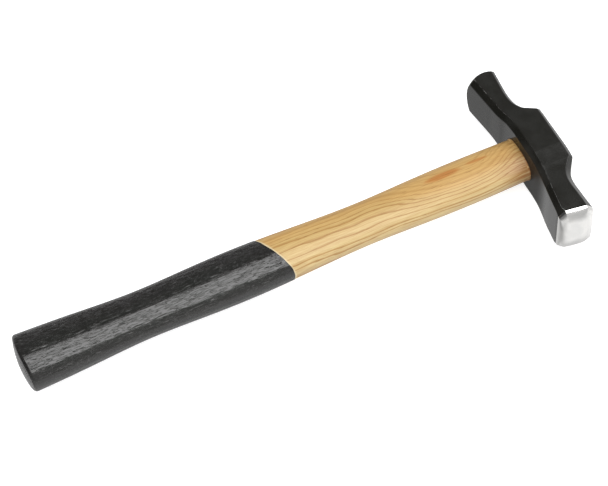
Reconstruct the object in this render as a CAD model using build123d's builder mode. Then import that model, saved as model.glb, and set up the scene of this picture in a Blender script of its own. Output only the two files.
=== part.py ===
from build123d import *
from math import copysign, cos, pi, radians, sin
import os

# Forging hammer: an octagonal steel head on an ash handle whose grip is dipped in lacquer.
# The hammer lies on one cheek of its head. +X runs along the handle towards the head's top,
# +Y towards the painted face, -Y towards the polished face and +Z up. The origin is on the
# resting cheek, straight below the centre of the eye.

# Head: cross-sections along it, as (place, underside, top, half thickness, top bevel). Underside
# and top are measured along the handle from the eye's centre. Each span is one smooth surface.
CHEEK = 21.8  # half thickness at the eye, and so the height of the middle plane
PAD = CHEEK + 0.1  # half thickness that the eye block is forged to, before its cheeks are ground flat
BEVEL = 3.4  # width taken off each long corner of the underside
BLANK = 76.0  # length of the painted limb's blank, before its face is cut
PAINTED_LIMB = [(BLANK, -20.0, 2.2, 18.2, 2.3), (45.0, -16.0, 0.1, 17.7, 2.3)]
PAINTED_NECK = [
    PAINTED_LIMB[-1],
    (41.0, -15.5, 0.2, 17.7, 2.4),
    (37.0, -15.0, 0.5, 17.7, 2.4),
    (33.0, -14.6, 1.4, 17.8, 2.4),
    (29.0, -14.2, 2.9, 18.4, 2.4),
    (25.5, -13.8, 5.0, 19.3, 2.4),
    (22.6, -13.4, 8.4, 20.1, 2.4),
    (19.4, -13.1, 12.6, 20.9, 2.3),
]
PAINTED_SHOULDER = [
    PAINTED_NECK[-1],
    (14.5, -12.8, 12.6, 21.5, 2.3),
    (10.0, -12.6, 12.6, PAD, 2.4),
]
EYE_BLOCK = [PAINTED_SHOULDER[-1], (-12.5, -12.5, 13.3, PAD, 2.9)]
POLISHED_SHOULDER = [
    EYE_BLOCK[-1],
    (-18.5, -12.6, 13.5, 21.4, 2.9),
    (-25.2, -13.0, 13.3, 20.6, 2.9),
]
POLISHED_NECK = [
    POLISHED_SHOULDER[-1],
    (-28.6, -13.3, 10.9, 20.2, 3.7),
    (-32.3, -13.8, 8.2, 20.1, 4.3),
    (-36.2, -14.4, 6.0, 20.3, 4.2),
    (-40.2, -15.1, 4.6, 20.6, 4.0),
    (-44.2, -15.8, 4.1, 20.8, 3.9),
    (-48.2, -16.4, 4.1, 20.8, 3.8),
]
POLISHED_LIMB = [POLISHED_NECK[-1], (-60.0, -17.9, 4.8, 20.5, 3.7)]
SPANS = [
    PAINTED_LIMB,
    PAINTED_NECK,
    PAINTED_SHOULDER,
    EYE_BLOCK,
    POLISHED_SHOULDER,
    POLISHED_NECK,
    POLISHED_LIMB,
]

# Painted face: part of an ellipsoid
PAINTED_TIP = 71.0
PAINTED_MIDDLE = -6.8
PAINTED_ALONG = 15.0  # radius from the underside to the top
PAINTED_ACROSS = 30.0  # radius from cheek to cheek
PAINTED_DEPTH = 40.0  # half length of the ellipsoid

# Polished face: a dome over the end of its limb, square to the arched head
RIM_PLACE = -64.2
RIM_MIDDLE = -6.2
RIM_LEAN = 8.8  # degrees
RIM_HEIGHT = 24.0  # from the underside to the top
RIM_HALF = 20.3
RIM_BEVEL = 5.9
DOME = 9.0
DOME_FULLNESS = 2.15  # seen from a cheek: 2 would be an ellipse, more is fuller
DOME_FULLNESS_ACROSS = 1.75  # seen from the top
DOME_ROUNDING = 4.0  # how much its bevels grow, for its size, from the rim to the middle
DOME_STEPS = 8

# Eye: cross-sections along the handle, as (place, length, width)
EYE = [(-14.0, 33.0, 21.0), (-2.0, 32.4, 20.4), (16.0, 34.8, 22.4)]
MOUTH = [(-14.5, 36.0, 24.0), (-11.5, 32.4, 20.4)]
EYE_SQUARENESS = 2.5
TENON_END = 14.0

# Handle: cross-sections along it, as (place, width, thickness)
GRIP_SQUARENESS = 2.15
HANDLE = [
    (-378.0, 42.3, 29.6),
    (-335.0, 38.5, 27.0),
    (-291.0, 34.1, 23.9),
    (-250.0, 36.0, 25.5),
    (-210.0, 36.6, 26.2),
    (-170.0, 33.6, 23.8),
    (-129.0, 31.3, 21.6),
    (-89.0, 33.4, 22.2),
    (-53.0, 34.4, 22.2),
    (-14.0, 33.0, 21.0),
]
BUTT = -376.6
BUTT_RADIUS = 70.0
BUTT_EDGE = 1.6

# Dip coat on the grip: it ends along a slanted line
COAT = 0.25
COAT_END = -196.5
COAT_SLANT = 24.0  # degrees away from square to the handle

# Wedges driven into the end of the tenon
WEDGE_DEPTH = 19.0
WEDGE_TOP = 4.2
WEDGE_TIP = 1.2
RING_RADIUS = 7.0
RING_WALL = 1.8
RING_EDGE = 0.6  # wall at the ring's driven-in edge
RING_DEPTH = 13.0

os.makedirs("parts", exist_ok=True)


def bulge(value, squareness):
    """Sine or cosine pushed outwards, so that an ellipse becomes a squarer oval."""
    return copysign(abs(value) ** (2 / squareness), value)


def oval(width, thickness, squareness, points=28):
    """Points of an oval about the middle plane, from an ellipse (squareness 2) to squarer."""
    angles = [2 * pi * step / points for step in range(points)]
    return [
        (width / 2 * bulge(cos(a), squareness), CHEEK + thickness / 2 * bulge(sin(a), squareness))
        for a in angles
    ]


def octagon(underside, top, half, bevel, top_bevel):
    """Corners of the head's section: a rectangle about the middle plane with its corners bevelled."""
    low, high = CHEEK - half, CHEEK + half
    return [
        (underside + bevel, low),
        (top - top_bevel, low),
        (top, low + top_bevel),
        (top, high - top_bevel),
        (top - top_bevel, high),
        (underside + bevel, high),
        (underside, high - bevel),
        (underside, low + bevel),
    ]


# Space that keeps the painted face: the ellipsoid, and a block behind it for the rest of the head
along, across = ((radius * PAINTED_DEPTH) ** 0.5 for radius in (PAINTED_ALONG, PAINTED_ACROSS))
painted_centre = PAINTED_TIP - PAINTED_DEPTH
painted_space = scale(Sphere(1), by=(along, PAINTED_DEPTH, across))
painted_space = Pos(PAINTED_MIDDLE, painted_centre, CHEEK) * painted_space
painted_space += Pos(0, painted_centre - 75, CHEEK) * Box(80, 150, 80)


def oval_body(sections, squareness, grown=0):
    """Smooth solid through ovals across the handle, its surface grown outwards by an amount."""
    with BuildPart() as body:
        for place, width, thickness in sections:
            with BuildSketch(Plane.YZ.offset(place)):
                with BuildLine():
                    Spline(*oval(width + 2 * grown, thickness + 2 * grown, squareness), periodic=True)
                make_face()
        loft()
    return body.part


def grip_body(grown):
    """The handle up to the eye, its butt crowned and its surface grown outwards by an amount."""
    butt_space = Pos(BUTT + BUTT_RADIUS, 0, CHEEK) * Sphere(BUTT_RADIUS + grown)
    butt_space += Pos(BUTT + BUTT_RADIUS + 200, 0, CHEEK) * Box(400, 160, 160)
    blank = oval_body(HANDLE, GRIP_SQUARENESS, grown)
    with BuildPart() as body:
        add(blank)
        add(butt_space, mode=Mode.INTERSECT)
        fillet(body.edges().sort_by(Axis.X)[0], BUTT_EDGE + grown)
    return body.part


eye = oval_body(EYE, EYE_SQUARENESS)
mouth = oval_body(MOUTH, EYE_SQUARENESS)

# Head
rim = Plane(
    origin=(RIM_MIDDLE, RIM_PLACE, 0),
    x_dir=(cos(radians(RIM_LEAN)), -sin(radians(RIM_LEAN)), 0),
    z_dir=(-sin(radians(RIM_LEAN)), -cos(radians(RIM_LEAN)), 0),
)
with BuildPart() as head:
    for span in SPANS:
        for place, underside, top, half, top_bevel in span:
            with BuildSketch(Plane.XZ.offset(-place)):
                Polygon(*octagon(underside, top, half, BEVEL, top_bevel), align=None)
        loft()
    place, underside, top, half, top_bevel = POLISHED_LIMB[-1]
    with BuildSketch(Plane.XZ.offset(-place)):
        Polygon(*octagon(underside, top, half, BEVEL, top_bevel), align=None)
    with BuildSketch(rim):
        Polygon(*octagon(-RIM_HEIGHT / 2, RIM_HEIGHT / 2, RIM_HALF, RIM_BEVEL, RIM_BEVEL), align=None)
    loft()
    for step in range(DOME_STEPS):
        rise = sin(step * pi / 2 / (DOME_STEPS - 0.3))
        shrink = (1 - rise**DOME_FULLNESS) ** (1 / DOME_FULLNESS)
        shrink_across = (1 - rise**DOME_FULLNESS_ACROSS) ** (1 / DOME_FULLNESS_ACROSS)
        half_height = RIM_HEIGHT / 2 * shrink
        corner = shrink * (RIM_BEVEL + DOME_ROUNDING * (1 - shrink))
        with BuildSketch(rim.offset(DOME * rise)):
            Polygon(
                *octagon(-half_height, half_height, RIM_HALF * shrink_across, corner, corner),
                align=None,
            )
    loft()
    add(painted_space, mode=Mode.INTERSECT)
    split(bisect_by=Plane.XY, keep=Keep.TOP)
    split(bisect_by=Plane.XY.offset(2 * CHEEK), keep=Keep.BOTTOM)
    add(eye, mode=Mode.SUBTRACT)
    add(mouth, mode=Mode.SUBTRACT)
head.part.label = "head"
export_step(head.part, "parts/head.step")

# Wedges: a wooden one across the whole tenon, and a steel ring driven in over it
with BuildPart() as ring_wedge:
    with BuildSketch(Plane.XY.offset(CHEEK)):
        with BuildLine():
            Polyline(
                (TENON_END, RING_RADIUS - RING_WALL),
                (TENON_END, RING_RADIUS),
                (TENON_END - RING_DEPTH, RING_RADIUS),
                (TENON_END - RING_DEPTH, RING_RADIUS - RING_EDGE),
                close=True,
            )
        make_face()
    revolve(axis=Axis((0, 0, CHEEK), (1, 0, 0)))
ring_wedge.part.label = "ring_wedge"
export_step(ring_wedge.part, "parts/ring_wedge.step")

with BuildPart() as kerf:
    with BuildSketch(Plane.XZ):
        with BuildLine():
            Polyline(
                (TENON_END, CHEEK - WEDGE_TOP / 2),
                (TENON_END, CHEEK + WEDGE_TOP / 2),
                (TENON_END - WEDGE_DEPTH, CHEEK + WEDGE_TIP / 2),
                (TENON_END - WEDGE_DEPTH, CHEEK - WEDGE_TIP / 2),
                close=True,
            )
        make_face()
    extrude(amount=25, both=True)

with BuildPart() as wood_wedge:
    add(eye)
    split(bisect_by=Plane.YZ.offset(TENON_END), keep=Keep.BOTTOM)
    add(kerf.part, mode=Mode.INTERSECT)
    add(ring_wedge.part, mode=Mode.SUBTRACT)
wood_wedge.part.label = "wood_wedge"
export_step(wood_wedge.part, "parts/wood_wedge.step")

# Handle, with its tenon in the eye
bare_grip = grip_body(0)
with BuildPart() as handle:
    add(eye)
    split(bisect_by=Plane.YZ.offset(TENON_END), keep=Keep.BOTTOM)
    add(bare_grip)
    add(kerf.part, mode=Mode.SUBTRACT)
    add(ring_wedge.part, mode=Mode.SUBTRACT)
handle.part.label = "handle"
export_step(handle.part, "parts/handle.step")

# Dip coat: a thin skin over the grip as far as its slanted end
coat_end = Plane(
    origin=(COAT_END, 0, CHEEK),
    x_dir=(-sin(radians(COAT_SLANT)), cos(radians(COAT_SLANT)), 0),
    z_dir=(cos(radians(COAT_SLANT)), sin(radians(COAT_SLANT)), 0),
)
coated_grip = grip_body(COAT)
with BuildPart() as grip_coat:
    add(coated_grip)
    add(bare_grip, mode=Mode.SUBTRACT)
    split(bisect_by=coat_end, keep=Keep.BOTTOM)
grip_coat.part.label = "grip_coat"
export_step(grip_coat.part, "parts/grip_coat.step")
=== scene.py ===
import math

import bmesh
import bpy
import numpy as np
from mathutils import Matrix, Vector


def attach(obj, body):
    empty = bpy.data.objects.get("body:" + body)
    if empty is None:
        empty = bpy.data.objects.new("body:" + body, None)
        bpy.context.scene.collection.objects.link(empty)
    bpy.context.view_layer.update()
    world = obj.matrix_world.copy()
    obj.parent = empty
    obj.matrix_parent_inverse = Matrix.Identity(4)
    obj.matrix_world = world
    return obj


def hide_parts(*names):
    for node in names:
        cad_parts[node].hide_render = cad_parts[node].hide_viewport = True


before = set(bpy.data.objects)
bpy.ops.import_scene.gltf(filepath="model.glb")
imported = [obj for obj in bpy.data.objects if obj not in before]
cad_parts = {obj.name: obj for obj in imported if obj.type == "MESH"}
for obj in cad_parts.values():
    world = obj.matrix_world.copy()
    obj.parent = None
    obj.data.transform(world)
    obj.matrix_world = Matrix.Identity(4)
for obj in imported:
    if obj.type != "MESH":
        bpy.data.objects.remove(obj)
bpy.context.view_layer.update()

# Forging hammer lying on its cheek. Lengths are in millimetres until a mesh is made from them.
# +X runs along the handle to the head's top, +Y to the painted face, -Y to the polished face.
MM = 0.001
CHEEK = 21.8  # height of the middle plane above the resting cheek

# Head: cross-sections along it, as (place, underside, top, half thickness, top bevel)
BEVEL = 3.4  # of the underside
HEAD_LOW, HEAD_HIGH = -60.0, 76.0  # places of the first and the last cross-section
LIMB_START = 45.0  # place where the painted limb leaves the neck
PAINTED_LIMB = [(HEAD_HIGH, -20.0, 2.2, 18.2, 2.3), (LIMB_START, -16.0, 0.1, 17.7, 2.3)]
PAINTED_NECK = [
    PAINTED_LIMB[-1],
    (41.0, -15.5, 0.2, 17.7, 2.4),
    (37.0, -15.0, 0.5, 17.7, 2.4),
    (33.0, -14.6, 1.4, 17.8, 2.4),
    (29.0, -14.2, 2.9, 18.4, 2.4),
    (25.5, -13.8, 5.0, 19.3, 2.4),
    (22.6, -13.4, 8.4, 20.1, 2.4),
    (19.4, -13.1, 12.6, 20.9, 2.3),
]
PAINTED_SHOULDER = [
    PAINTED_NECK[-1],
    (14.5, -12.8, 12.6, 21.5, 2.3),
    (10.0, -12.6, 12.6, CHEEK, 2.4),
]
EYE_BLOCK = [PAINTED_SHOULDER[-1], (-12.5, -12.5, 13.3, CHEEK, 2.9)]
POLISHED_SHOULDER = [
    EYE_BLOCK[-1],
    (-18.5, -12.6, 13.5, 21.27, 2.9),
    (-25.2, -13.0, 13.3, 20.72, 2.9),
]
POLISHED_NECK = [
    POLISHED_SHOULDER[-1],
    (-28.6, -13.3, 10.9, 20.42, 3.7),
    (-32.3, -13.8, 8.2, 20.3, 4.3),
    (-36.2, -14.4, 6.0, 20.35, 4.2),
    (-40.2, -15.1, 4.6, 20.6, 4.0),
    (-44.2, -15.8, 4.1, 20.8, 3.9),
    (-48.2, -16.4, 4.1, 20.8, 3.8),
]
POLISHED_LIMB = [POLISHED_NECK[-1], (HEAD_LOW, -17.9, 4.8, 20.5, 3.7)]
SPANS = [
    PAINTED_LIMB,
    PAINTED_NECK,
    PAINTED_SHOULDER,
    EYE_BLOCK,
    POLISHED_SHOULDER,
    POLISHED_NECK,
    POLISHED_LIMB,
]
EDGE = 0.75  # rounding of the head's long edges
RIDGE = 0.35  # half width of the rounding where one span of the head meets the next
SIDES = (18, 4, 26, 4, 18, 4, 26, 4)  # divisions of the octagon's sides
ARC = 4  # points on each rounded corner
UNDERSIDE_CORNERS = (6, 1)  # numbers of the corners between a cheek and an underside bevel
SECTION_STEP = 0.25  # between the sections that the head's outline is looked up in
HEAD_RINGS = [  # (from, to, number of rings) beyond the painted limb
    (LIMB_START, 20.4, 30),
    (20.2, 18.6, 7),
    (18.2, 11.0, 9),
    (10.8, 9.2, 5),
    (8.4, -11.0, 22),
    (-11.7, -13.3, 5),
    (-14.0, -24.2, 13),
    (-24.4, -26.0, 7),
    (-26.6, -48.0, 34),
    (-48.6, HEAD_LOW, 14),
]

# Painted face: an ellipsoid, with a rounded edge
PAINTED_TIP = 71.0
PAINTED_MIDDLE = -6.8
PAINTED_ALONG = 15.0
PAINTED_ACROSS = 30.0
PAINTED_DEPTH = 40.0
PAINTED_EDGE = 0.6
PAINTED_HUB = -7.2  # where the face's rings close
PAINTED_SHARES = (0.12, 0.24, 0.36, 0.48, 0.6, 0.7, 0.79, 0.87, 0.93, 0.97)  # rings from the hub
PAINTED_TURNS = 5  # rings over its rounded edge
LIMB_RINGS = 30

# Polished face: a dome on a tilted rim
RIM_PLACE = -64.2
RIM_MIDDLE = -6.2
RIM_LEAN = math.radians(8.8)
RIM_HEIGHT = 24.0
RIM_HALF = 20.3
RIM_BEVEL = 4.6
DOME = 8.95
DOME_FULLNESS = 2.25  # of its profile, seen from a cheek
DOME_FULLNESS_ACROSS = 1.68  # of its profile, seen from the top
DOME_SQUARENESS = (3.5, 2.4)  # of the dome's outline, near its rim and near its middle
DOME_BLEND = 0.12  # shrink of the outline over which the rim's flat bevels melt into it
DOME_RINGS = 30
RIM_SHARES = (0.2, 0.4, 0.6, 0.8, 0.93, 1.0)  # rings from the limb's end to the rim

# Eye, mouth and handle: ovals across the handle, as (place, width, thickness)
EYE = [(-14.0, 33.0, 21.0), (-2.0, 32.4, 20.4), (16.0, 34.8, 22.4)]
MOUTH = [(-14.5, 34.4, 22.4), (-11.5, 32.4, 20.4)]
EYE_SQUARENESS = 2.5
EYE_STEP = 0.5
EYE_POINTS = 96
TENON_START, TENON_END = -13.5, 14.0
TENON_GAP = 0.03  # between the tenon and the eye
TENON_SUNK = 0.3  # how far the sawn wood stays below the wedges' ends
GRIP_SQUARENESS = 2.15
AROUND = 112  # points round the handle
HANDLE = [
    (-378.0, 42.3, 29.6),
    (-335.0, 38.5, 27.0),
    (-291.0, 34.1, 23.9),
    (-250.0, 36.0, 25.5),
    (-210.0, 36.6, 26.2),
    (-170.0, 33.6, 23.8),
    (-129.0, 31.3, 21.6),
    (-89.0, 33.4, 22.2),
    (-53.0, 34.4, 22.2),
    (-14.0, 33.0, 21.0),
]
GRIP_STOP, GRIP_RINGS = -17.0, 300  # its even rings, before the last few at the head
GRIP_LAST = (-16.0, -15.0, -14.1)
BUTT = -376.6
BUTT_INSET = 0.02  # keeps the crown inside the CAD box
BUTT_RADIUS = 70.0
BUTT_EDGE = 1.6
BUTT_SHARES = (0.1, 0.22, 0.34, 0.46, 0.57, 0.67, 0.76, 0.84, 0.91, 0.96)  # rings from the middle
BUTT_TURNS = 8  # rings over its rounded edge
COAT = 0.25
COAT_LAP = 0.05  # how far the lacquer's inside reaches into the wood
COAT_END = -196.5
COAT_SLANT = math.tan(math.radians(24.0))
COAT_RINGS, COAT_INSIDE_RINGS = 230, 24
COAT_EDGE = ((0.4, 1.0), (0.22, 0.97), (0.08, 0.8), (0.0, 0.45))  # (back from the end, share of COAT)
COAT_WAVES = ((0.18, 3, 0.6), (0.1, 7, 2.0), (0.07, 13, 0.0))  # of its edge: (size, number, start)
WEDGE_DEPTH = 19.0
WEDGE_TOP = 4.2
WEDGE_TIP = 1.2
WEDGE_WIDTH = 32.6
WEDGE_SUNK = 0.12  # how far the wooden wedge stays below the ring's end
WEDGE_SIDE, WEDGE_END = 24, 4  # divisions of its section's long and short sides
RING_RADIUS = 7.0
RING_WALL = 1.8
RING_EDGE = 0.6
RING_DEPTH = 13.0
RING_BEVEL = 0.35
RING_STEPS = 64
CUT_GAP = 0.02  # clearance of the slots cut for the wedges
CUT_TOP = TENON_END + 2.0
CUT_WIDTH = 30.0


# ---------------------------------------------------------------- curves and rings


def smooth_curve(places, values):
    """Natural cubic curve through values at rising places, as a function of place."""
    places, values = np.array(places, float), np.array(values, float)
    n = len(places)
    gap = np.diff(places)
    slope = np.diff(values, axis=0) / gap[:, None]
    bend = np.zeros_like(values)
    if n > 2:
        system = np.zeros((n - 2, n - 2))
        for i in range(n - 2):
            system[i, i] = 2 * (gap[i] + gap[i + 1])
            if i:
                system[i, i - 1] = gap[i]
            if i < n - 3:
                system[i, i + 1] = gap[i + 1]
        bend[1:-1] = np.linalg.solve(system, 6 * np.diff(slope, axis=0))

    def at(place):
        place = np.atleast_1d(np.asarray(place, float))
        i = np.clip(np.searchsorted(places, place) - 1, 0, n - 2)
        h = gap[i][:, None]
        a = (places[i + 1] - place)[:, None] / h
        b = 1 - a
        return (
            a * values[i]
            + b * values[i + 1]
            + ((a**3 - a) * bend[i] + (b**3 - b) * bend[i + 1]) * h**2 / 6
        )

    return at


def curve_through(rows):
    """Smooth curve through rows of a place and its values."""
    return smooth_curve([r[0] for r in rows], [r[1:] for r in rows])


def head_sections():
    """The head's section dimensions as a function of place, with softened ridges between spans."""
    curves = []
    for span in SPANS:
        rows = sorted(span)
        curves.append((rows[0][0], rows[-1][0], curve_through(rows)))

    def sharp(place):
        place = np.atleast_1d(np.asarray(place, float))
        out = np.zeros((len(place), 4))
        for low, high, curve in curves:
            inside = (place >= low - 1e-9) & (place <= high + 1e-9)
            if inside.any():
                out[inside] = curve(place[inside])
        return out

    def soft(place):
        place = np.clip(np.atleast_1d(np.asarray(place, float)), HEAD_LOW, HEAD_HIGH)
        steps = np.linspace(-RIDGE, RIDGE, 9)
        total = sum(sharp(np.clip(place + s, HEAD_LOW, HEAD_HIGH)) for s in steps)
        return total / len(steps)

    return soft


def octagon_ring(underside, top, half, bevel, top_bevel, edge):
    """Closed outline of the head's section, as (x, z), and the number of each point's corner.

    Corners are numbered from 1; points on the sides between them have 0.
    """
    low, high = CHEEK - half, CHEEK + half
    corners = np.array([
        (underside + bevel, low),
        (top - top_bevel, low),
        (top, low + top_bevel),
        (top, high - top_bevel),
        (top - top_bevel, high),
        (underside + bevel, high),
        (underside, high - bevel),
        (underside, low + bevel),
    ])
    sides = len(SIDES)
    arcs = []
    for k in range(sides):
        here, before, after = corners[k], corners[k - 1], corners[(k + 1) % sides]
        a = (before - here) / np.linalg.norm(before - here)
        b = (after - here) / np.linalg.norm(after - here)
        middle = (a + b) / np.linalg.norm(a + b)
        half_angle = math.acos(np.clip(a @ b, -1, 1)) / 2
        centre = here + middle * edge / math.sin(half_angle)
        start = here + a * edge / math.tan(half_angle) - centre
        end = here + b * edge / math.tan(half_angle) - centre
        arc = []
        for t in np.linspace(0, 1, ARC):
            turned = start * (1 - t) + end * t
            arc.append(centre + turned / np.linalg.norm(turned) * edge)
        arcs.append(arc)
    points, marks = [], []
    for k in range(sides):
        points += arcs[k]
        marks += [k + 1] * ARC
        start, end = arcs[k][-1], arcs[(k + 1) % sides][0]
        for t in np.linspace(0, 1, SIDES[k] + 1)[1:-1]:
            points.append(start * (1 - t) + end * t)
            marks.append(0)
    return np.array(points), marks


def oval_ring(width, thickness, squareness, count):
    """Closed oval about the handle's axis, as (y, z) with z about the middle plane."""
    angle = np.linspace(0, 2 * np.pi, count, endpoint=False)
    c, s = np.cos(angle), np.sin(angle)
    power = 2 / squareness
    return np.stack([
        width / 2 * np.sign(c) * np.abs(c) ** power,
        thickness / 2 * np.sign(s) * np.abs(s) ** power,
    ], axis=1)


def inward(ring):
    """In-plane unit normals of a closed ring, pointing inwards."""
    along = np.roll(ring, -1, axis=0) - np.roll(ring, 1, axis=0)
    along /= np.linalg.norm(along, axis=1)[:, None]
    normal = np.stack([-along[:, 1], along[:, 0]], axis=1)
    centre = ring.mean(axis=0)
    if ((centre - ring) * normal).sum() < 0:
        normal = -normal
    return normal


def at_handle(place, yz):
    """Ring of points at one place or several along the handle, from (y, z) about its axis."""
    return np.stack([np.broadcast_to(place, (len(yz),)), yz[:, 0], CHEEK + yz[:, 1]], axis=1)


def new_piece(name, points, faces, materials):
    """Mesh object with outward normals, from points in metres."""
    mesh = bpy.data.meshes.new(name)
    mesh.from_pydata(points, [], faces)
    for material in materials:
        mesh.materials.append(material)
    piece = bpy.data.objects.new(name, mesh)
    bpy.context.scene.collection.objects.link(piece)
    work = bmesh.new()
    work.from_mesh(mesh)
    bmesh.ops.recalc_face_normals(work, faces=work.faces)
    work.to_mesh(mesh)
    work.free()
    mesh.update()
    return piece


def skin(name, rings, *materials):
    """Closed piece over rings of equal length, each an array of points in millimetres."""
    count = len(rings[0])
    points = [tuple(p) for ring in rings for p in np.asarray(ring) * MM]
    faces = []
    for r in range(len(rings) - 1):
        for k in range(count):
            a, b = r * count + k, r * count + (k + 1) % count
            faces.append((a, b, b + count, a + count))
    for first in (0, (len(rings) - 1) * count):
        middle = len(points)
        points.append(tuple(np.mean([points[first + k] for k in range(count)], axis=0)))
        for k in range(count):
            faces.append((first + k, first + (k + 1) % count, middle))
    return new_piece(name, points, faces, materials)


def cut(piece, tool):
    """Takes the tool's solid away from the piece and removes the tool."""
    step = piece.modifiers.new("cut", "BOOLEAN")
    step.operation = "DIFFERENCE"
    step.object = tool
    step.solver = "EXACT"
    bpy.context.view_layer.update()
    graph = bpy.context.evaluated_depsgraph_get()
    mesh = bpy.data.meshes.new_from_object(piece.evaluated_get(graph), depsgraph=graph)
    piece.modifiers.clear()
    old = piece.data
    piece.data = mesh
    bpy.data.meshes.remove(old)
    bpy.data.objects.remove(tool)


def shade(piece, degrees):
    """Smooth shading, with edges sharper than the angle kept crisp."""
    for face in piece.data.polygons:
        face.use_smooth = True
    piece.data.set_sharp_from_angle(angle=math.radians(degrees))


# ---------------------------------------------------------------- head


def painted_face(x, z):
    """Place of the painted face's surface at a point of the head's section."""
    along = (x - PAINTED_MIDDLE) ** 2 / (PAINTED_ALONG * PAINTED_DEPTH)
    across = (z - CHEEK) ** 2 / (PAINTED_ACROSS * PAINTED_DEPTH)
    inside = np.clip(1 - along - across, 0.01, None)
    return PAINTED_TIP - PAINTED_DEPTH + PAINTED_DEPTH * np.sqrt(inside)


def build_head(paint, ground):
    section = head_sections()
    places = np.arange(HEAD_LOW, HEAD_HIGH + 0.01, SECTION_STEP)
    table = []
    for underside, top, half, top_bevel in section(places):
        ring, marks = octagon_ring(underside, top, half, BEVEL, top_bevel, EDGE)
        table.append(ring)
    table = np.array(table)
    count = table.shape[1]
    index = np.arange(count)

    def outline(place):
        """Points of the outline, each at its own place along the head."""
        at = np.clip((place - places[0]) / SECTION_STEP, 0, len(places) - 1.001)
        i = at.astype(int)
        t = (at - i)[:, None]
        return table[i, index] * (1 - t) + table[i + 1, index] * t

    def ring_at(place):
        place = np.broadcast_to(np.asarray(place, float), (count,)).copy()
        xz = outline(place)
        return np.stack([xz[:, 0], place, xz[:, 1]], axis=1)

    def face_ring(xz, drop=0.0):
        """Ring on the painted face's surface, or a little behind it."""
        return np.stack([xz[:, 0], painted_face(xz[:, 0], xz[:, 1]) - drop, xz[:, 1]], axis=1)

    # Painted end: rings from the face's middle, over its rounded edge, down to the neck
    end = np.full(count, PAINTED_TIP - 5.0)
    for _ in range(6):  # where the outline meets the face, found by repeating
        xz = outline(end)
        end = painted_face(xz[:, 0], xz[:, 1]) - PAINTED_EDGE
    rim_xz = outline(end)
    to_middle = inward(rim_xz)
    rings = []
    hub = np.array([PAINTED_HUB, CHEEK])
    inner = rim_xz + to_middle * PAINTED_EDGE
    for share in PAINTED_SHARES:
        rings.append(face_ring(hub + (inner - hub) * share))
    for turn in np.linspace(0, np.pi / 2, PAINTED_TURNS):
        xz = rim_xz + to_middle * PAINTED_EDGE * (1 - math.sin(turn))
        rings.append(face_ring(xz, PAINTED_EDGE * (1 - math.cos(turn))))
    for share in np.linspace(1, 0, LIMB_RINGS)[1:-1]:
        rings.append(ring_at(LIMB_START + (end - LIMB_START) * share))
    for start, stop, steps in HEAD_RINGS:
        for place in np.linspace(start, stop, steps):
            rings.append(ring_at(place))

    # Polished end: straight to the tilted rim, then the dome
    half_height = RIM_HEIGHT / 2
    rim_outline, _ = octagon_ring(-half_height, half_height, RIM_HALF, RIM_BEVEL, RIM_BEVEL, EDGE)
    rim_outline = (rim_outline - (0, CHEEK)) / (half_height, RIM_HALF)
    rim_reach = np.linalg.norm(rim_outline, axis=1)
    rim_aim = rim_outline / rim_reach[:, None]

    def tilted(share):
        """Ring of the dome at a share of its height."""
        rise = DOME * share
        shrink = (1 - share**DOME_FULLNESS) ** (1 / DOME_FULLNESS)
        shrink_across = (1 - share**DOME_FULLNESS_ACROSS) ** (1 / DOME_FULLNESS_ACROSS)
        near_rim, at_middle = DOME_SQUARENESS
        power = near_rim + (at_middle - near_rim) * (1 - shrink)
        reach = (np.abs(rim_aim) ** power).sum(axis=1) ** (-1 / power)
        rounded = min(1.0, (1 - shrink) / DOME_BLEND)
        rounded = rounded * rounded * (3 - 2 * rounded)
        reach = rim_reach + (reach - rim_reach) * rounded
        u, z = (rim_aim * reach[:, None] * (half_height * shrink, RIM_HALF * shrink_across)).T
        z = z + CHEEK
        x = RIM_MIDDLE + u * math.cos(RIM_LEAN) - rise * math.sin(RIM_LEAN)
        y = RIM_PLACE - u * math.sin(RIM_LEAN) - rise * math.cos(RIM_LEAN)
        return np.stack([x, y, z], axis=1)

    last, rim = rings[-1], tilted(0.0)
    for share in RIM_SHARES:
        rings.append(last + (rim - last) * share)
    painted_rings = len(rings)
    for step in range(1, DOME_RINGS + 1):  # closer together in height towards the dome's middle
        rings.append(tilted(math.sin((step / (DOME_RINGS + 0.6)) ** 1.15 * math.pi / 2)))

    head = skin("hammer_head", rings, paint, ground)
    mesh = head.data
    # Where the thin bare-steel line runs: the inner points of each underside corner
    corner_line = [
        k for k in range(count)
        if marks[k] in UNDERSIDE_CORNERS and marks[k - 1] == marks[k] == marks[(k + 1) % count]
    ]
    strength = np.zeros(len(mesh.vertices))
    for r in range(painted_rings):
        strength[[r * count + k for k in corner_line]] = 1.0
    mesh.attributes.new("long_edge", "FLOAT", "POINT").data.foreach_set("value", strength)
    first_dome = (painted_rings - 1) * count
    last_dome = (len(rings) - 1) * count
    for face in mesh.polygons:
        dome = first_dome <= face.index < last_dome or face.index >= last_dome + count
        face.material_index = 1 if dome else 0
    through = 40.0  # the eye's tool reaches well past the head at both ends
    cut(head, skin("eye_tool", eye_rings(0.0, -through, through, EYE_POINTS)))
    return head


def eye_rings(gap, start, stop, count, with_mouth=True):
    """Rings of the eye along the handle, with the flared mouth at the underside."""
    eye, mouth = curve_through(EYE), curve_through(MOUTH)
    eye_low, eye_high = EYE[0][0], EYE[-1][0]
    mouth_low, mouth_high = MOUTH[0][0], MOUTH[-1][0]
    between = np.arange(mouth_low, eye_high + 0.01, EYE_STEP)
    out = []
    for place in [start] + [p for p in between if start < p < stop] + [stop]:
        width, thickness = eye(np.clip(place, eye_low, eye_high))[0]
        if with_mouth and place < mouth_high:
            wide, thick = mouth(max(place, mouth_low))[0]
            width, thickness = max(width, wide), max(thickness, thick)
        oval = oval_ring(width - 2 * gap, thickness - 2 * gap, EYE_SQUARENESS, count)
        out.append(at_handle(place, oval))
    return out


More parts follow.
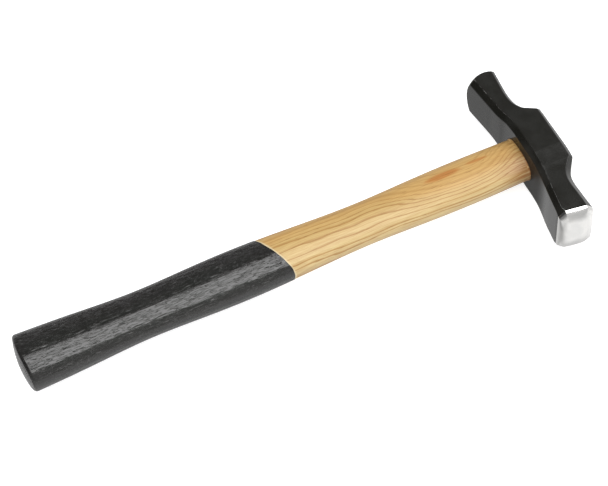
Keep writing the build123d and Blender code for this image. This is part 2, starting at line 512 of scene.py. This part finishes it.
# ---------------------------------------------------------------- handle and coat

grip_size = curve_through(HANDLE)


def grip_outline(place, grown):
    """Points of the grip's surface as (y, z), each at its own place along the handle."""
    size = grip_size(place)
    unit = oval_ring(2.0, 2.0, GRIP_SQUARENESS, len(place))
    y = unit[:, 0] * (size[:, 0] / 2 + grown)
    z = unit[:, 1] * (size[:, 1] / 2 + grown)
    return np.stack([y, z], axis=1)


def grip_ring(place, grown):
    return at_handle(place, grip_outline(place, grown))


def butt_rings(grown):
    """Rings over the crowned butt and its rounded edge, and the places where they end."""
    radius, edge = BUTT_RADIUS + grown, BUTT_EDGE + grown

    def crown(yz):
        return BUTT + BUTT_INSET + BUTT_RADIUS - np.sqrt(radius**2 - (yz**2).sum(axis=1))

    end = np.full(AROUND, BUTT + 3.0)
    for _ in range(5):  # where the grip meets the crown, found by repeating
        yz = grip_outline(end, grown)
        end = crown(yz) + edge
    rim = grip_outline(end, grown)
    to_middle = inward(rim)
    rings = []
    inner = rim + to_middle * edge
    for share in BUTT_SHARES:
        yz = inner * share
        rings.append(at_handle(crown(yz), yz))
    for turn in np.linspace(0, np.pi / 2, BUTT_TURNS):
        yz = rim + to_middle * edge * (1 - math.sin(turn))
        rings.append(at_handle(crown(yz) + edge * (1 - math.cos(turn)), yz))
    return rings, end


def build_handle(ash):
    rings, end = butt_rings(0.0)
    first = float(end.max()) + 1.5
    for share in (0.33, 0.66):
        rings.append(grip_ring(end + (first - end) * share, 0.0))
    for place in (*np.linspace(first, GRIP_STOP, GRIP_RINGS), *GRIP_LAST):
        rings.append(grip_ring(np.full(AROUND, place), 0.0))
    rings += eye_rings(TENON_GAP, TENON_START, TENON_END - TENON_SUNK, AROUND, with_mouth=False)
    handle = skin("ash_handle", rings, ash)
    cut(handle, wedge_piece("kerf_tool", CUT_GAP, CUT_TOP, CUT_WIDTH))
    cut(handle, ring_piece("groove_tool", CUT_GAP, CUT_TOP, 0.0))
    return handle


def build_coat(lacquer):
    """Thin skin of lacquer: its outside, its rounded slanted edge, and its inside in the wood."""
    rings, end = butt_rings(COAT)
    angle = np.linspace(0, 2 * np.pi, AROUND, endpoint=False)
    wobble = sum(size * np.sin(number * angle + start) for size, number, start in COAT_WAVES)
    stop = np.full(AROUND, COAT_END)
    for _ in range(4):  # where the slanted edge meets the grip, found by repeating
        stop = COAT_END - COAT_SLANT * grip_outline(stop, COAT)[:, 0] + wobble
    for step in range(1, COAT_RINGS):
        rings.append(grip_ring(end + (stop - COAT_EDGE[0][0] - end) * step / COAT_RINGS, COAT))
    for back, share in COAT_EDGE:
        rings.append(grip_ring(stop - back, COAT * share))
    rings.append(grip_ring(stop, -COAT_LAP))
    for step in range(COAT_INSIDE_RINGS, 0, -1):
        rings.append(grip_ring(end + (stop - 0.5 - end) * step / COAT_INSIDE_RINGS, -COAT_LAP))
    inner, _ = butt_rings(-COAT_LAP)
    rings += inner[::-1]
    return skin("lacquer_coat", rings, lacquer)


# ---------------------------------------------------------------- wedges


def wedge_piece(name, grown, top, width, *materials):
    """Wedge across the tenon, its surface grown outwards."""
    tip_half = WEDGE_TIP / 2 + grown
    top_half = WEDGE_TOP / 2 + grown + (top - TENON_END) * (WEDGE_TOP - WEDGE_TIP) / 2 / WEDGE_DEPTH
    low = TENON_END - WEDGE_DEPTH
    sections = [(low - grown, tip_half)]
    for share in (0.25, 0.5, 0.75, 0.97, 1.0):
        sections.append((low + (top - low) * share, tip_half + (top_half - tip_half) * share))
    rings = []
    for place, half in sections:
        ring = []
        for k in range(WEDGE_SIDE):
            ring.append((place, -width / 2 + width * k / WEDGE_SIDE, CHEEK - half))
        for k in range(WEDGE_END):
            ring.append((place, width / 2, CHEEK - half + 2 * half * k / WEDGE_END))
        for k in range(WEDGE_SIDE):
            ring.append((place, width / 2 - width * k / WEDGE_SIDE, CHEEK + half))
        for k in range(WEDGE_END):
            ring.append((place, -width / 2, CHEEK + half - 2 * half * k / WEDGE_END))
        rings.append(np.array(ring))
    return skin(name, rings, *materials)


def ring_piece(name, grown, top, bevel, *materials):
    """Steel ring with a wall that thins to its driven-in edge."""
    low = TENON_END - RING_DEPTH - grown
    outer = RING_RADIUS + grown
    inner_top, inner_low = RING_RADIUS - RING_WALL - grown, RING_RADIUS - RING_EDGE - grown
    profile = [(low, inner_low), (low, outer)]
    if bevel:
        slope = 0.3 * bevel
        profile += [
            (top - bevel, outer),
            (top - slope, outer - slope),
            (top, outer - bevel),
            (top, inner_top + bevel),
            (top - slope, inner_top + slope),
            (top - bevel, inner_top),
        ]
    else:
        profile += [(top, outer), (top, inner_top)]
    points, faces = [], []
    for k in range(RING_STEPS):
        a = 2 * math.pi * k / RING_STEPS
        for x, r in profile:
            points.append((x * MM, r * math.cos(a) * MM, (CHEEK + r * math.sin(a)) * MM))
    n = len(profile)
    for k in range(RING_STEPS):
        for j in range(n):
            a, b = k * n + j, k * n + (j + 1) % n
            c, d = (k + 1) % RING_STEPS * n + (j + 1) % n, (k + 1) % RING_STEPS * n + j
            faces.append((a, b, c, d))
    return new_piece(name, points, faces, materials)


# ---------------------------------------------------------------- materials


class Nodes:
    """Short helpers for a node tree."""

    def __init__(self, tree):
        self.tree = tree
        tree.nodes.clear()

    def node(self, kind, **settings):
        made = self.tree.nodes.new(kind)
        for key, value in settings.items():
            setattr(made, key, value)
        return made

    def put(self, socket, value):
        """Sets a socket from a number, a colour or another node's output."""
        if isinstance(value, bpy.types.NodeSocket):
            self.tree.links.new(value, socket)
        elif hasattr(value, "__len__") and len(value) == 3 and len(socket.default_value) == 4:
            socket.default_value = (*value, 1.0)
        else:
            socket.default_value = value

    def math(self, operation, a, b=None, c=None, clamp=False):
        made = self.node("ShaderNodeMath", operation=operation, use_clamp=clamp)
        for socket, value in zip(made.inputs, (a, b, c)):
            if value is not None:
                self.put(socket, value)
        return made.outputs[0]

    def split(self, vector):
        made = self.node("ShaderNodeSeparateXYZ")
        self.put(made.inputs[0], vector)
        return made.outputs[0], made.outputs[1], made.outputs[2]

    def range(self, value, low, high, to_low=0.0, to_high=1.0, smooth=True):
        """Turns low..high into to_low..to_high, and holds the ends beyond it."""
        kind = "SMOOTHSTEP" if smooth else "LINEAR"
        made = self.node("ShaderNodeMapRange", interpolation_type=kind)
        self.put(made.inputs[0], value)
        for socket, number in zip(list(made.inputs)[1:5], (low, high, to_low, to_high)):
            self.put(socket, number)
        return made.outputs[0]


class Look(Nodes):
    """A procedural material, with helpers for patterns measured in millimetres."""

    def __init__(self, name):
        self.material = bpy.data.materials.new(name)
        self.material.use_nodes = True
        super().__init__(self.material.node_tree)
        out = self.node("ShaderNodeOutputMaterial")
        self.shader = self.node("ShaderNodeBsdfPrincipled")
        self.tree.links.new(self.shader.outputs[0], out.inputs[0])

    def place(self):
        """Position in millimetres, as a vector."""
        coordinates = self.node("ShaderNodeTexCoord")
        scaled = self.node("ShaderNodeVectorMath", operation="SCALE")
        self.put(scaled.inputs[0], coordinates.outputs["Object"])
        scaled.inputs["Scale"].default_value = 1 / MM
        return scaled.outputs[0]

    def join(self, x, y, z):
        made = self.node("ShaderNodeCombineXYZ")
        for socket, value in zip(made.inputs, (x, y, z)):
            self.put(socket, value)
        return made.outputs[0]

    def stretch(self, vector, by):
        made = self.node("ShaderNodeVectorMath", operation="MULTIPLY")
        self.put(made.inputs[0], vector)
        made.inputs[1].default_value = by
        return made.outputs[0]

    def noise(self, vector, detail=2.0, roughness=0.5):
        made = self.node("ShaderNodeTexNoise", noise_dimensions="3D")
        self.put(made.inputs["Vector"], vector)
        made.inputs["Scale"].default_value = 1.0
        made.inputs["Detail"].default_value = detail
        made.inputs["Roughness"].default_value = roughness
        made.inputs["Distortion"].default_value = 0.0
        return made.outputs[0]

    def grain(self, place, per_mm, detail=2.0, roughness=0.5):
        """Noise with its own fineness along each axis."""
        return self.noise(self.stretch(place, per_mm), detail, roughness)

    def mix(self, factor, a, b):
        made = self.node("ShaderNodeMix", data_type="RGBA")
        self.put(made.inputs[0], factor)
        self.put(made.inputs[6], a)
        self.put(made.inputs[7], b)
        return made.outputs[2]

    def bump(self, height, strength, depth):
        """Normal from a height, where 1 stands for a depth in millimetres."""
        made = self.node("ShaderNodeBump")
        made.inputs["Strength"].default_value = strength
        made.inputs["Distance"].default_value = depth * MM
        self.put(made.inputs["Height"], height)
        return made.outputs[0]

    def spot(self, u, v, middle_u, middle_v, half_u, half_v):
        """1 in the middle of an ellipse on two coordinates, fading to 0 at its edge."""
        a = self.math("DIVIDE", self.math("SUBTRACT", u, middle_u), half_u)
        b = self.math("DIVIDE", self.math("SUBTRACT", v, middle_v), half_v)
        away = self.math("ADD", self.math("MULTIPLY", a, a), self.math("MULTIPLY", b, b))
        return self.range(away, 1.0, 0.25)

    def set(self, **values):
        """Sets the shader's own sockets; an underscore stands for a space in their names."""
        for name, value in values.items():
            self.put(self.shader.inputs[name.replace("_", " ")], value)


LIGHT_LEVEL = 1.9  # how much brighter than its own colour a matt surface facing the softbox looks


def linear(r, g, b):
    """Surface colour that looks like an 8-bit screen colour under the softbox."""

    def light(share):
        return share / 12.92 if share <= 0.04045 else ((share + 0.055) / 1.055) ** 2.4

    return tuple(light(c / 255) / LIGHT_LEVEL for c in (r, g, b))


# Ash: distance between the tree's rings, and how they turn round along the handle
RING_GAP = 2.4
ACROSS_RINGS = (0.85, 0.53)  # shares of y and z in the direction across the rings
FLAME_PLACE = -52.0
FLAME_REACH = 9.0
FLAME_AFTER, FLAME_BEFORE = 0.0085, 0.0024  # how sharply they turn on its two sides
FLAME_ROUNDING = 6.0
FLAME_SIDES = (-20.0, 12.0)  # across the rings, from where they run straight to where they turn most
WARP_SLOW, WARP_FINE = 7.0, 1.2  # how far the rings stray, over long and short distances
LEAN = 0.010  # how far they lean across, along the handle
FLAME_SPOTS = ((-69.0, 4.6, 16.0, 3.4), (-43.0, 6.0, 10.0, 1.8))  # as Look.spot takes them

ASH_LOW = linear(241, 215, 157)  # the wood, from the handle's polished-face side to its other side
ASH_MIDDLE = linear(229, 197, 130)
ASH_HIGH = linear(234, 192, 121)
ASH_STREAK = linear(206, 162, 100)
ASH_FIBRE = linear(188, 142, 84)
ASH_FLAME = linear(202, 124, 58)
ASH_RING = linear(184, 134, 70)
ASH_PORE = linear(146, 98, 52)
ASH_EYE_END = linear(168, 102, 54)
# painted shade for the wood inside the eye's mouth
ASH_MOUTH_SHADE = linear(96, 58, 34)
ASH_BARE = linear(252, 236, 196)
END_PALE, END_DARK, END_RING = linear(186, 140, 88), linear(160, 114, 66), linear(128, 86, 48)
WEDGE_PALE, WEDGE_DARK = linear(150, 104, 62), linear(112, 72, 40)

LACQUER_DARK, LACQUER_PALE = (0.0048, 0.0046, 0.0040), (0.0074, 0.0071, 0.0062)
PAINT_DARK, PAINT_PALE = (0.0078, 0.0076, 0.0062), (0.0120, 0.0119, 0.0104)
# steel of the thin line along the underside corners
EDGE_LINE_STEEL = (0.82, 0.82, 0.80)
GROUND_PALE, GROUND_DARK = (0.86, 0.85, 0.83), (0.78, 0.775, 0.76)
RING_PALE, RING_DARK = (0.42, 0.41, 0.40), (0.24, 0.22, 0.20)


def ash_grain(look):
    """Grain of the ash: place, distance across the rings, phase within a ring, pores, streaks."""
    place = look.place()
    x, y, z = look.split(place)
    depth = look.math("MULTIPLY", look.math("SUBTRACT", z, CHEEK), ACROSS_RINGS[1])
    side = look.math("MULTIPLY_ADD", y, ACROSS_RINGS[0], depth)
    slow = look.grain(place, (0.012, 0.05, 0.05))
    fine = look.grain(place, (0.04, 0.35, 0.35))
    ahead = look.math("SUBTRACT", x, FLAME_PLACE)
    after, before = look.math("MAXIMUM", ahead, 0.0), look.math("MINIMUM", ahead, 0.0)
    turn = look.math("MULTIPLY", look.math("MULTIPLY", after, after), FLAME_AFTER)
    turn = look.math("MULTIPLY_ADD", look.math("MULTIPLY", before, before), FLAME_BEFORE, turn)
    turn = look.math("SMOOTH_MIN", turn, FLAME_REACH, FLAME_ROUNDING)
    turn = look.math("MULTIPLY", turn, look.range(side, *FLAME_SIDES))
    away = look.math("SUBTRACT", side, turn)
    away = look.math("MULTIPLY_ADD", look.math("SUBTRACT", slow, 0.5), WARP_SLOW, away)
    away = look.math("MULTIPLY_ADD", look.math("SUBTRACT", fine, 0.5), WARP_FINE, away)
    away = look.math("MULTIPLY_ADD", x, LEAN, away)
    # Rings of uneven width
    uneven = look.noise(look.join(look.math("MULTIPLY", away, 0.21), 0.3, 0.7), 1.0)
    uneven = look.math("MULTIPLY", uneven, 2.2)
    phase = look.math("FRACT", look.math("ADD", look.math("DIVIDE", away, RING_GAP), uneven))
    pores = look.grain(place, (0.16, 2.3, 2.3), 1.0, 0.4)
    streaks = look.grain(place, (0.02, 1.1, 1.1), 4.0, 0.65)
    return place, away, phase, pores, streaks


def ash_look():
    look = Look("ash_wood")
    place, away, phase, pores, streaks = ash_grain(look)
    x, y, _ = look.split(place)
    early = look.math("MULTIPLY", look.range(phase, 0.0, 0.08), look.range(phase, 0.50, 0.10))
    fibre = look.grain(place, (0.03, 3.2, 3.2), 3.0, 0.6)
    base = look.mix(look.range(away, -13.0, -4.0), ASH_LOW, ASH_MIDDLE)
    base = look.mix(look.range(away, -4.0, 1.5), base, ASH_HIGH)
    base = look.mix(look.range(streaks, 0.38, 0.64, 0.0, 0.42), base, ASH_STREAK)
    base = look.mix(look.range(fibre, 0.46, 0.66, 0.0, 0.34), base, ASH_FIBRE)
    # Brown flecks in the flame
    flame = look.math("ADD", *(look.spot(x, y, *spot) for spot in FLAME_SPOTS))
    flame = look.math("MULTIPLY", flame, look.range(streaks, 0.25, 0.55, 0.45, 1.0), clamp=True)
    base = look.mix(look.math("MULTIPLY", flame, 0.8), base, ASH_FLAME)
    # Early wood of each ring, and its pores
    drawn = look.math("MULTIPLY", early, look.range(away, 3.0, -4.0, 0.38, 0.78))
    base = look.mix(drawn, base, ASH_RING)
    dashes = look.math("MULTIPLY_ADD", early, 0.8, 0.2)
    dashes = look.math("MULTIPLY", look.range(pores, 0.60, 0.70), dashes)
    base = look.mix(look.math("MULTIPLY", dashes, 0.60), base, ASH_PORE)
    # Browner towards the eye
    eye_end = look.range(y, 6.0, -12.0, 0.2, 1.0)
    eye_end = look.math("MULTIPLY", look.range(x, -40.0, -14.0), eye_end)
    eye_end = look.math("MULTIPLY", eye_end, look.range(streaks, 0.35, 0.6, 0.4, 1.0))
    base = look.mix(look.math("MULTIPLY", eye_end, 0.72), base, ASH_EYE_END)
    # Painted shade on the wood inside the eye's mouth; the tenon's end grain shows at the head's top
    mouth_shade = look.math("MULTIPLY", look.range(x, -13.2, -12.4), look.range(x, -6.0, -10.0))
    base = look.mix(mouth_shade, base, ASH_MOUTH_SHADE)
    rays = look.grain(place, (0.3, 2.6, 0.5), 3.0, 0.6)
    end_grain = look.mix(look.range(rays, 0.35, 0.65), END_PALE, END_DARK)
    end_grain = look.mix(look.math("MULTIPLY", early, 0.7), end_grain, END_RING)
    base = look.mix(look.range(x, 10.0, 12.0), base, end_grain)
    # Bare pale line left beside the lacquer's edge
    beside = look.math("ADD", look.math("MULTIPLY_ADD", y, COAT_SLANT, x), -COAT_END)
    base = look.mix(look.range(beside, 1.5, 0.4, 0.0, 0.7), base, ASH_BARE)
    height = look.math("MULTIPLY_ADD", dashes, -1.0, look.math("MULTIPLY", phase, 0.35))
    look.set(
        Base_Color=base,
        Roughness=look.range(streaks, 0.3, 0.7, 0.36, 0.46, smooth=False),
        Normal=look.bump(height, 0.35, 0.12),
        Coat_Weight=0.10,
        Coat_Roughness=0.2,
        Specular_IOR_Level=0.30,
    )
    return look.material


def lacquer_look():
    """Black lacquer, sunk into the pores and rings of the ash below it."""
    look = Look("black_lacquer")
    _, _, phase, pores, streaks = ash_grain(look)
    early = look.math("MULTIPLY", look.range(phase, 0.0, 0.12), look.range(phase, 0.6, 0.15))
    dashes = look.math("MULTIPLY_ADD", early, 0.5, 0.5)
    dashes = look.math("MULTIPLY", look.range(pores, 0.53, 0.61), dashes)
    height = look.math("MULTIPLY_ADD", dashes, -1.0, look.math("MULTIPLY", phase, 0.2))
    height = look.math("MULTIPLY_ADD", streaks, 0.2, height)
    look.set(
        Base_Color=look.mix(look.range(streaks, 0.35, 0.7), LACQUER_DARK, LACQUER_PALE),
        Roughness=look.range(pores, 0.4, 0.75, 0.09, 0.17, smooth=False),
        Normal=look.bump(height, 0.9, 0.34),
        Specular_IOR_Level=0.76,
    )
    return look.material


def paint_look():
    look = Look("satin_black_paint")
    place = look.place()
    x, y, _ = look.split(place)
    cloud = look.grain(place, (0.09, 0.07, 0.09), 3.0)
    peel = look.grain(place, (1.1, 1.1, 1.1), 3.0, 0.55)
    grit = look.grain(place, (4.0, 4.0, 4.0), 2.0, 0.6)
    chips = look.grain(place, (0.6, 0.22, 0.6), 3.0)
    # A thin bare-steel line along the underside corners, strongest towards the faces and hardly any
    # beside the eye
    attribute = look.node(
        "ShaderNodeAttribute", attribute_name="long_edge", attribute_type="GEOMETRY"
    )
    to_polished = look.range(y, -14.0, -40.0, 0.0, 0.07)
    to_painted = look.range(y, 14.0, 40.0, 0.0, 0.10)
    patchy = look.math("ADD", to_polished, to_painted)
    patchy = look.math("MULTIPLY", look.range(chips, 0.40, 0.58), patchy)
    bare = look.math("MULTIPLY", attribute.outputs["Fac"], patchy)
    tone = look.mix(look.range(cloud, 0.35, 0.68), PAINT_DARK, PAINT_PALE)
    # Duller on the underside just below the handle, in place of the dark that the real paint mirrors
    dull = look.math("MULTIPLY", look.range(x, -8.0, -12.0), look.range(y, -46.0, -24.0))
    dull = look.math("MULTIPLY", dull, look.range(y, 6.0, -6.0))
    rough = look.range(cloud, 0.3, 0.7, 0.15, 0.21, smooth=False)
    rough = look.math("MULTIPLY_ADD", dull, 0.34, rough)
    rough = look.math("MULTIPLY_ADD", look.range(y, -34.0, -54.0), -0.05, rough)
    look.set(
        Base_Color=look.mix(bare, tone, EDGE_LINE_STEEL),
        Metallic=bare,
        Roughness=rough,
        Normal=look.bump(look.math("MULTIPLY_ADD", grit, 0.25, peel), 0.35, 0.09),
        Specular_IOR_Level=0.42,
    )
    return look.material


def ground_look():
    look = Look("ground_steel")
    place = look.place()
    lines = look.grain(place, (0.35, 0.5, 5.0), 3.0, 0.6)
    cloud = look.grain(place, (0.10, 0.12, 0.10))
    look.set(
        Base_Color=look.mix(look.range(cloud, 0.35, 0.7), GROUND_PALE, GROUND_DARK),
        Metallic=1.0,
        Roughness=look.range(lines, 0.3, 0.7, 0.18, 0.25, smooth=False),
        Normal=look.bump(lines, 0.12, 0.08),
    )
    return look.material


def wedge_look():
    look = Look("wedge_wood")
    fibre = look.grain(look.place(), (0.12, 1.6, 2.4), 3.0, 0.6)
    look.set(
        Base_Color=look.mix(look.range(fibre, 0.3, 0.7), WEDGE_PALE, WEDGE_DARK),
        Roughness=look.range(fibre, 0.3, 0.7, 0.6, 0.75, smooth=False),
        Normal=look.bump(fibre, 0.5, 0.2),
    )
    return look.material


def ring_look():
    look = Look("ring_steel")
    patchy = look.grain(look.place(), (0.8, 0.8, 0.8), 4.0, 0.6)
    look.set(
        Base_Color=look.mix(look.range(patchy, 0.4, 0.65), RING_PALE, RING_DARK),
        Metallic=1.0,
        Roughness=look.range(patchy, 0.3, 0.7, 0.30, 0.48, smooth=False),
        Normal=look.bump(patchy, 0.3, 0.1),
    )
    return look.material


# ---------------------------------------------------------------- pieces


def settle(piece, nodes, degrees):
    """Shades a piece, gives it its body, and hides the CAD nodes it stands for."""
    shade(piece, degrees)
    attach(piece, "root")
    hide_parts(*nodes)


head = build_head(paint_look(), ground_look())
settle(head, ["head"], 32)
handle = build_handle(ash_look())
settle(handle, ["handle"], 40)
coat = build_coat(lacquer_look())
settle(coat, ["grip_coat"], 50)
wedge = wedge_piece("oak_wedge", 0.0, TENON_END - WEDGE_SUNK, WEDGE_WIDTH, wedge_look())
cut(wedge, ring_piece("wedge_groove_tool", CUT_GAP, CUT_TOP, 0.0))
settle(wedge, ["wood_wedge"], 30)
ring = ring_piece("steel_ring", 0.0, TENON_END, RING_BEVEL, ring_look())
settle(ring, ["ring_wedge"], 35)

# ---------------------------------------------------------------- floor, light and camera

# Pale floor, which glows a little so that it looks white all over
FLOOR = 6.0
FLOOR_TONE = 0.55
FLOOR_GLOW = 0.75
floor_mesh = bpy.data.meshes.new("floor")
floor_mesh.from_pydata(
    [(-FLOOR, -FLOOR, 0), (FLOOR, -FLOOR, 0), (FLOOR, FLOOR, 0), (-FLOOR, FLOOR, 0)],
    [],
    [(0, 1, 2, 3)],
)
floor = bpy.data.objects.new("floor", floor_mesh)
bpy.context.scene.collection.objects.link(floor)
floor_look = Look("pale_floor")
floor_look.set(
    Base_Color=(FLOOR_TONE, FLOOR_TONE, FLOOR_TONE),
    Roughness=0.9,
    Specular_IOR_Level=0.0,
    Emission_Color=(1.0, 1.0, 1.0),
    Emission_Strength=FLOOR_GLOW,
)
floor_mesh.materials.append(floor_look.material)
floor.visible_glossy = False

# Softbox above the hammer; its left part lights matt surfaces but isn't mirrored in glossy ones
SOFTBOX_HEIGHT = 3.0
SOFTBOX_NEAR, SOFTBOX_FAR = -2.8, 0.85
SOFTBOX_LEFT, SOFTBOX_SPLIT, SOFTBOX_RIGHT = -3.1, -0.9, 3.9
SOFTBOX_RADIANCE = 3.6
for name, left, rightmost, mirrored in (
    ("softbox", SOFTBOX_SPLIT, SOFTBOX_RIGHT, True),
    ("softbox_left", SOFTBOX_LEFT, SOFTBOX_SPLIT, False),
):
    panel = bpy.data.lights.new(name, "AREA")
    panel.shape = "RECTANGLE"
    panel.size, panel.size_y = rightmost - left, SOFTBOX_FAR - SOFTBOX_NEAR
    panel.energy = SOFTBOX_RADIANCE * math.pi * panel.size * panel.size_y
    lamp = bpy.data.objects.new(name, panel)
    lamp.location = ((left + rightmost) / 2, (SOFTBOX_NEAR + SOFTBOX_FAR) / 2, SOFTBOX_HEIGHT)
    lamp.visible_glossy = mirrored
    bpy.context.scene.collection.objects.link(lamp)

# Room around it: brighter on the near side, on the right and low down, and dim on the left
ROOM_LEVEL = 0.26
ROOM_LEAST = 0.06
ROOM_NEAR, ROOM_RIGHT, ROOM_LEFT, ROOM_LOW = 0.48, 0.62, -0.5, 0.57  # added in each direction
world = bpy.data.worlds.new("studio")
bpy.context.scene.world = world
world.use_nodes = True
room = Nodes(world.node_tree)
dx, dy, dz = room.split(room.node("ShaderNodeTexCoord").outputs["Generated"])
near_side = room.range(dy, -0.45, 0.0, ROOM_NEAR, 0.0)
right_side = room.range(dx, 0.2, 0.8, 0.0, ROOM_RIGHT)
left_side = room.range(dx, -0.8, -0.3, ROOM_LEFT, 0.0)
low = room.range(dz, -0.25, 0.0, ROOM_LOW, 0.0)
level = room.math("MAXIMUM", near_side, right_side)
level = room.math("ADD", level, room.math("ADD", low, left_side))
level = room.math("MAXIMUM", room.math("ADD", level, ROOM_LEVEL), ROOM_LEAST)
lit = room.node("ShaderNodeBackground")
room.put(lit.inputs["Strength"], level)
# The camera itself sees plain white beyond the floor
seen = room.node("ShaderNodeBackground")
room.put(seen.inputs["Color"], (1.0, 1.0, 1.0))
room.put(seen.inputs["Strength"], 1.0)
choice = room.node("ShaderNodeMixShader")
room.put(choice.inputs[0], room.node("ShaderNodeLightPath").outputs["Is Camera Ray"])
room.put(choice.inputs[1], lit.outputs[0])
room.put(choice.inputs[2], seen.outputs[0])
room.put(room.node("ShaderNodeOutputWorld").inputs[0], choice.outputs[0])

# Camera, placed by fitting the outline of the head and the handle
CAMERA_PLACE = (-0.48005, -0.76141, 1.23202)
CAMERA_BACK = Vector((-0.2101, -0.5225, 0.8264))  # away from what it looks at
CAMERA_ROLL = math.radians(-4.0)
CAMERA_LENS = 130.65
CAMERA_SENSOR = 36.0
back = CAMERA_BACK.normalized()
right = Vector((0, 0, 1)).cross(back).normalized()
up = back.cross(right)
across = math.cos(CAMERA_ROLL) * right + math.sin(CAMERA_ROLL) * up
upward = -math.sin(CAMERA_ROLL) * right + math.cos(CAMERA_ROLL) * up
lens = bpy.data.cameras.new("camera")
lens.lens = CAMERA_LENS
lens.sensor_width = CAMERA_SENSOR
lens.sensor_fit = "HORIZONTAL"
lens.clip_start = 0.05
camera = bpy.data.objects.new("camera", lens)
camera.matrix_world = Matrix((
    (across.x, upward.x, back.x, CAMERA_PLACE[0]),
    (across.y, upward.y, back.y, CAMERA_PLACE[1]),
    (across.z, upward.z, back.z, CAMERA_PLACE[2]),
    (0, 0, 0, 1),
))
bpy.context.scene.collection.objects.link(camera)
bpy.context.scene.camera = camera
bpy.context.scene.view_settings.view_transform = "Standard"
bpy.context.scene.view_settings.look = "None"
